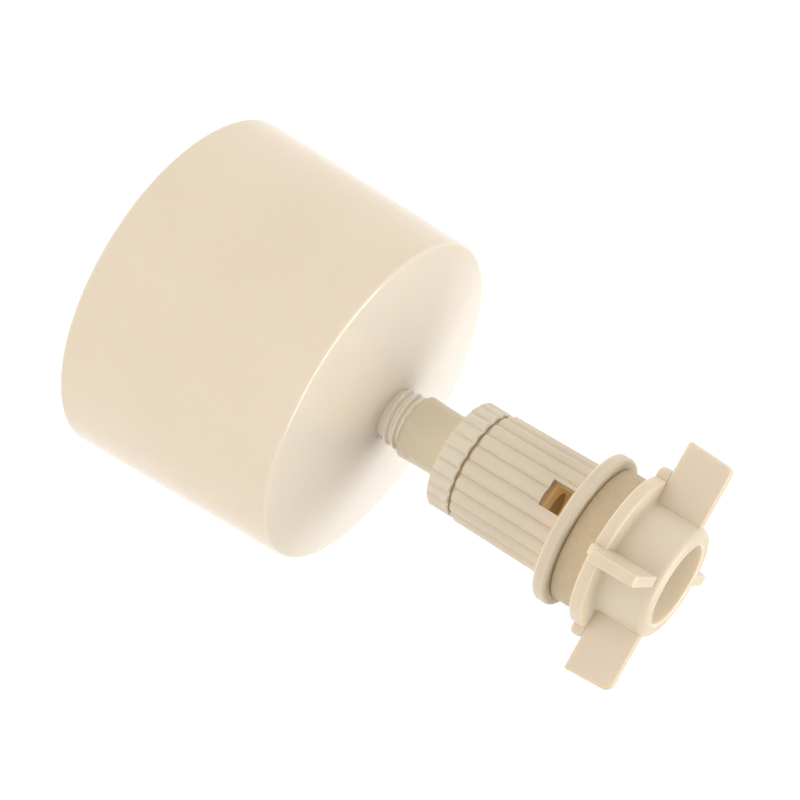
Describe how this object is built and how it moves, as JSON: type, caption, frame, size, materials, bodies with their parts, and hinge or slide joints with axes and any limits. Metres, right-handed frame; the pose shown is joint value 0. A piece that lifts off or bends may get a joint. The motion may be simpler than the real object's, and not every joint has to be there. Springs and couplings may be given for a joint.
{
  "type": "float valve",
  "caption": "Float valve with a conical float on a sliding stem, fluted body with outlet windows, panel flange, soft gasket and a four-winged clamping nut.",
  "frame": {"origin": "centre of the flange's upper face, which bears on the panel", "axes": "+Z along the valve's axis, out of the tank through the wing nut; the outlet windows face -Y and +Y"},
  "size_m": [0.0846, 0.0846, 0.1352],
  "materials": {
    "body_plastic": "cream moulded plastic, satin",
    "cap_plastic": "cream moulded plastic, satin",
    "nut_plastic": "cream moulded plastic, satin",
    "stem_plastic": "cream moulded plastic, satin",
    "float_plastic": "cream moulded plastic, glossy",
    "inner_plastic": "warm cream moulded plastic",
    "gasket_rubber": "tan soft rubber",
    "seal_rubber": "amber rubber",
    "ring_rubber": "brown rubber",
    "nozzle_brass": "turned brass",
    "strainer_steel": "woven stainless wire"
  },
  "bodies": {
    "body": {"valve_body": "body_plastic", "seat_nozzle": "nozzle_brass", "nozzle_o_ring": "ring_rubber", "strainer_frame": "inner_plastic", "strainer_mesh": "strainer_steel", "inlet_washer": "seal_rubber"},
    "gasket": {"panel_gasket": "gasket_rubber"},
    "nut": {"wing_nut": "nut_plastic"},
    "cap": {"guide_cap": "cap_plastic", "cap_o_ring": "ring_rubber"},
    "plunger": {"plunger_head": "inner_plastic", "plunger_seal": "seal_rubber", "seal_retainer": "inner_plastic", "stop_ring": "inner_plastic", "stem": "stem_plastic"},
    "post_ring": {"post_o_ring": "ring_rubber"},
    "float": {"float_shell": "float_plastic", "float_base": "float_plastic"}
  },
  "joints": [
    {"name": "float_lift", "type": "slide", "parent": "body", "child": "plunger", "axis": [0, 0, 1], "range_m": [0, 0.00445]},
    {"name": "ring_slide", "type": "slide", "parent": "plunger", "child": "post_ring", "axis": [0, 0, 1], "range_m": [-0.0021, 0.0041]},
    {"name": "float_turn", "type": "hinge", "parent": "post_ring", "child": "float", "pos_m": [0, 0, -0.055], "axis": [0, 0, 1], "range_deg": [-360, 720]},
    {"name": "gasket_slide", "type": "slide", "parent": "body", "child": "gasket", "axis": [0, 0, 1], "range_m": [0, 0.0037]},
    {"name": "nut_turn", "type": "hinge", "parent": "gasket", "child": "nut", "pos_m": [0, 0, 0.012], "axis": [0, 0, 1], "range_deg": [0, 720]},
    {"name": "cap_turn", "type": "hinge", "parent": "body", "child": "cap", "pos_m": [0, 0, -0.03], "axis": [0, 0, 1], "range_deg": [0, 60]}
  ],
  "couplings": [
    {"joint": "ring_slide", "follows": "float_turn", "m_per_rad": 0.00031831},
    {"joint": "gasket_slide", "follows": "nut_turn", "m_per_rad": 0.00028648}
  ]
}
